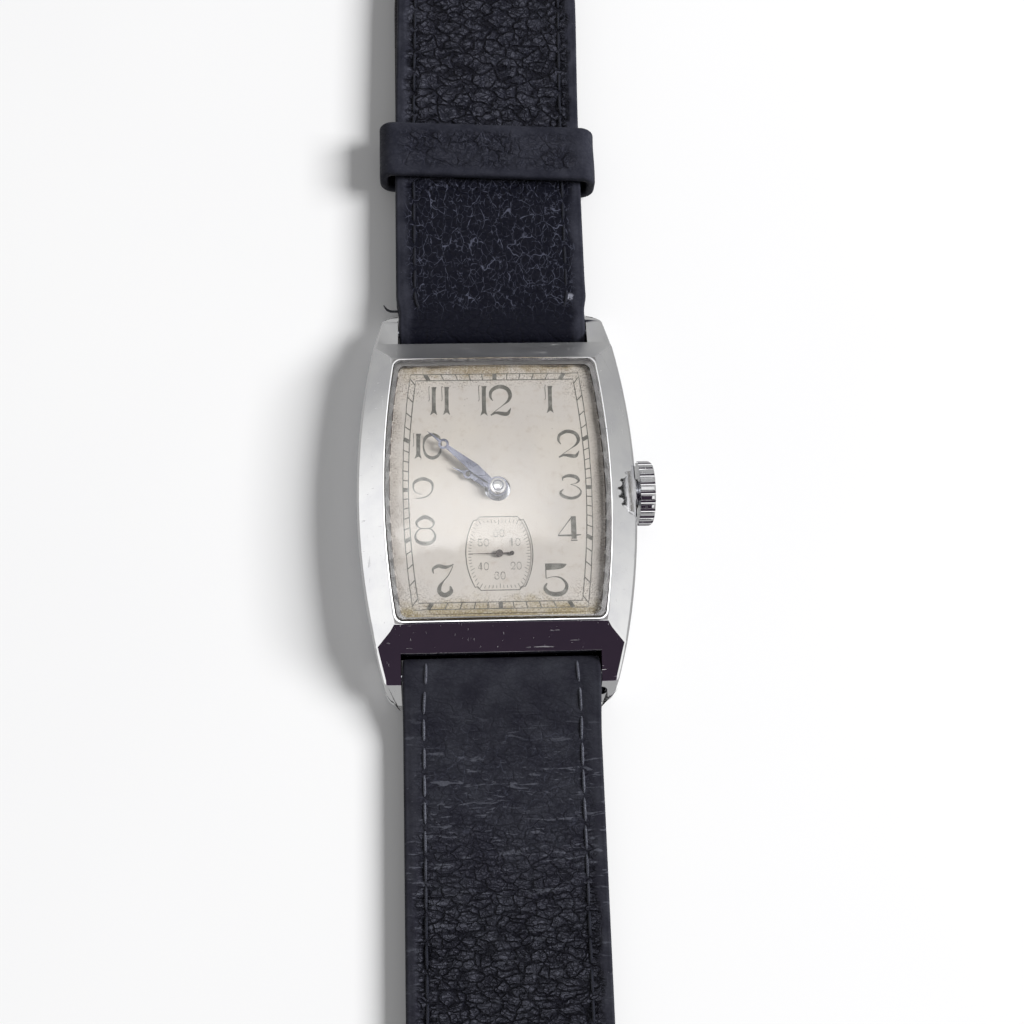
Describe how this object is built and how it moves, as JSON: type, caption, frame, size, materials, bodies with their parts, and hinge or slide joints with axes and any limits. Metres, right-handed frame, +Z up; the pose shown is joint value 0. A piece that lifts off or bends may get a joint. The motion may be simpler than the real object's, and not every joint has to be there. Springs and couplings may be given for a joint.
{
  "type": "tonneau wristwatch",
  "caption": "Tonneau wristwatch with bevelled steel case, domed crystal, small seconds dial, fluted crown, hand-wound movement and pin-buckle leather strap",
  "frame": {"origin": "centre of the case back's flat outer face, on the surface that the watch lies on", "axes": "+Z up through the dial, +Y towards 12 o'clock along the strap, +X towards the crown at 3 o'clock"},
  "size_m": [0.0278, 0.2192, 0.0077],
  "materials": {
    "polished_case": "polished",
    "brushed_back": "brushed, worn",
    "crystal": "clear, light scratches",
    "silvered_dial": "silvered, aged",
    "steel": "satin",
    "nickelled_brass": "nickelled",
    "brass": "satin",
    "ruby": "polished",
    "blued_steel": "blued, faded",
    "strap_leather": "grained, semi-gloss",
    "lining_leather": "smooth, matt",
    "plated_buckle": "polished"
  },
  "bodies": {
    "case": {"case_top": "polished_case", "case_back": "brushed_back", "crystal": "crystal", "dial": "silvered_dial", "crown_tube": "steel", "main_plate": "nickelled_brass", "barrel_bridge": "nickelled_brass", "train_bridge": "nickelled_brass", "balance_cock": "nickelled_brass", "pallet_cock": "nickelled_brass", "regulator": "steel", "jewels": "ruby", "bridge_screws": "steel", "crown_wheel_screw": "steel", "click_spring": "steel", "hairspring": "blued_steel", "yoke": "steel", "upper_spring_bar": "steel", "lower_spring_bar": "steel"},
    "upper_strap": {"upper_strap": "strap_leather", "upper_strap_lining": "lining_leather", "fixed_keeper": "strap_leather"},
    "loose_keeper": {"loose_keeper": "strap_leather"},
    "buckle": {"buckle_frame": "plated_buckle", "buckle_bar": "steel"},
    "buckle_tongue": {"buckle_tongue": "plated_buckle"},
    "lower_strap": {"lower_strap": "strap_leather", "lower_strap_lining": "lining_leather"},
    "clutch": {"sliding_pinion": "steel"},
    "crown": {"crown": "polished_case", "winding_stem": "steel"},
    "winding_pinion": {"winding_pinion": "steel"},
    "crown_wheel": {"crown_wheel": "steel"},
    "ratchet": {"ratchet_wheel": "steel", "ratchet_screw": "steel", "barrel_arbor": "steel"},
    "click": {"click": "steel"},
    "barrel": {"barrel_drum": "brass", "barrel_lid": "brass", "mainspring": "blued_steel"},
    "centre": {"centre_wheel": "brass"},
    "third": {"third_wheel": "brass"},
    "fourth": {"fourth_wheel": "brass", "seconds_hand": "blued_steel"},
    "escape": {"escape_wheel": "steel"},
    "lever": {"pallet_fork": "steel", "pallet_stones": "ruby"},
    "balance": {"balance_wheel": "brass", "balance_staff": "steel", "roller": "steel"},
    "minute_hand": {"cannon_pinion": "steel", "minute_hand": "blued_steel"},
    "minute_wheel": {"minute_wheel": "brass"},
    "hour_hand": {"hour_wheel": "brass", "hour_hand": "blued_steel"},
    "setting_wheel": {"setting_wheel": "steel"},
    "setting_lever": {"setting_lever": "steel"}
  },
  "joints": [
    {"name": "upper_strap_hinge", "type": "hinge", "parent": "case", "child": "upper_strap", "pos_m": [0, 0.01695, 0.0024], "axis": [1, 0, 0], "range_deg": [-90, 85]},
    {"name": "lower_strap_hinge", "type": "hinge", "parent": "case", "child": "lower_strap", "pos_m": [0, -0.01695, 0.0024], "axis": [-1, 0, 0], "range_deg": [-80, 85]},
    {"name": "loose_keeper_slide", "type": "slide", "parent": "upper_strap", "child": "loose_keeper", "axis": [0, 1, 0], "range_m": [-0.008, 0.036]},
    {"name": "buckle_hinge", "type": "hinge", "parent": "upper_strap", "child": "buckle", "pos_m": [0, 0.08695, 0.0021], "axis": [1, 0, 0], "range_deg": [-70, 60]},
    {"name": "tongue_hinge", "type": "hinge", "parent": "buckle", "child": "buckle_tongue", "pos_m": [0, 0.08695, 0.0021], "axis": [1, 0, 0], "range_deg": [0, 70]},
    {"name": "crown_turn", "type": "hinge", "parent": "case", "child": "clutch", "pos_m": [0.00495, 0, 0.0033], "axis": [1, 0, 0], "continuous": true},
    {"name": "crown_pull", "type": "slide", "parent": "clutch", "child": "crown", "axis": [1, 0, 0], "range_m": [0, 0.0009]},
    {"name": "winding_pinion_turn", "type": "hinge", "parent": "case", "child": "winding_pinion", "pos_m": [0.00625, 0, 0.0033], "axis": [1, 0, 0], "continuous": true},
    {"name": "crown_wheel_turn", "type": "hinge", "parent": "case", "child": "crown_wheel", "pos_m": [0.0044, 0, 0.00095], "axis": [0, 0, 1], "continuous": true},
    {"name": "ratchet_turn", "type": "hinge", "parent": "case", "child": "ratchet", "pos_m": [0.0006, 0.0056, 0.00095], "axis": [0, 0, 1], "continuous": true, "deforming": ["mainspring"]},
    {"name": "click_turn", "type": "hinge", "parent": "case", "child": "click", "pos_m": [-0.00295, 0.01011, 0.00095], "axis": [0, 0, 1], "range_deg": [-12, 0], "stiffness_Nm_per_rad": 0.0000002, "springref_deg": 8.59},
    {"name": "barrel_turn", "type": "hinge", "parent": "case", "child": "barrel", "pos_m": [0.0006, 0.0056, 0.00265], "axis": [0, 0, -1], "continuous": true},
    {"name": "centre_turn", "type": "hinge", "parent": "case", "child": "centre", "pos_m": [0, 0, 0.00265], "axis": [0, 0, -1], "continuous": true},
    {"name": "third_turn", "type": "hinge", "parent": "case", "child": "third", "pos_m": [0.00221, -0.00339, 0.00265], "axis": [0, 0, -1], "continuous": true},
    {"name": "seconds_turn", "type": "hinge", "parent": "case", "child": "fourth", "pos_m": [0, -0.00625, 0.00265], "axis": [0, 0, -1], "continuous": true},
    {"name": "escape_turn", "type": "hinge", "parent": "case", "child": "escape", "pos_m": [-0.00295, -0.00772, 0.00265], "axis": [0, 0, -1], "continuous": true},
    {"name": "lever_swing", "type": "hinge", "parent": "case", "child": "lever", "pos_m": [-0.00353, -0.00537, 0.00265], "axis": [0, 0, 1], "range_deg": [-6, 6]},
    {"name": "balance_swing", "type": "hinge", "parent": "case", "child": "balance", "pos_m": [-0.00428, -0.00236, 0.00265], "axis": [0, 0, 1], "range_deg": [-270, 270], "stiffness_Nm_per_rad": 0.00000014, "deforming": ["hairspring"]},
    {"name": "hand_setting", "type": "hinge", "parent": "centre", "child": "minute_hand", "pos_m": [0, 0, 0.00612], "axis": [0, 0, -1], "continuous": true},
    {"name": "minute_wheel_turn", "type": "hinge", "parent": "case", "child": "minute_wheel", "pos_m": [0.0012, -0.00262, 0.00466], "axis": [0, 0, -1], "continuous": true},
    {"name": "hour_hand_turn", "type": "hinge", "parent": "case", "child": "hour_hand", "pos_m": [0, 0, 0.0058], "axis": [0, 0, -1], "continuous": true},
    {"name": "setting_wheel_turn", "type": "hinge", "parent": "case", "child": "setting_wheel", "pos_m": [0.0033, 0, 0.00466], "axis": [0, 0, -1], "continuous": true},
    {"name": "setting_lever_turn", "type": "hinge", "parent": "case", "child": "setting_lever", "pos_m": [0.0082, -0.0024, 0.00466], "axis": [0, 0, 1], "range_deg": [-22.2, 0]}
  ],
  "couplings": [
    {"joint": "third_turn", "follows": "seconds_turn", "ratio": -0.13333},
    {"joint": "centre_turn", "follows": "seconds_turn", "ratio": 0.016667},
    {"joint": "barrel_turn", "follows": "seconds_turn", "ratio": -0.0025641},
    {"joint": "escape_turn", "follows": "seconds_turn", "ratio": -10},
    {"joint": "winding_pinion_turn", "follows": "crown_turn", "ratio": 1},
    {"joint": "crown_wheel_turn", "follows": "crown_turn", "ratio": 0.73333},
    {"joint": "ratchet_turn", "follows": "crown_turn", "ratio": -0.44524},
    {"joint": "minute_wheel_turn", "follows": "hand_setting", "ratio": -0.33333},
    {"joint": "hour_hand_turn", "follows": "hand_setting", "ratio": 0.083333},
    {"joint": "setting_wheel_turn", "follows": "hand_setting", "ratio": 0.6},
    {"joint": "setting_lever_turn", "follows": "crown_pull", "rad_per_m": -411.88}
  ]
}
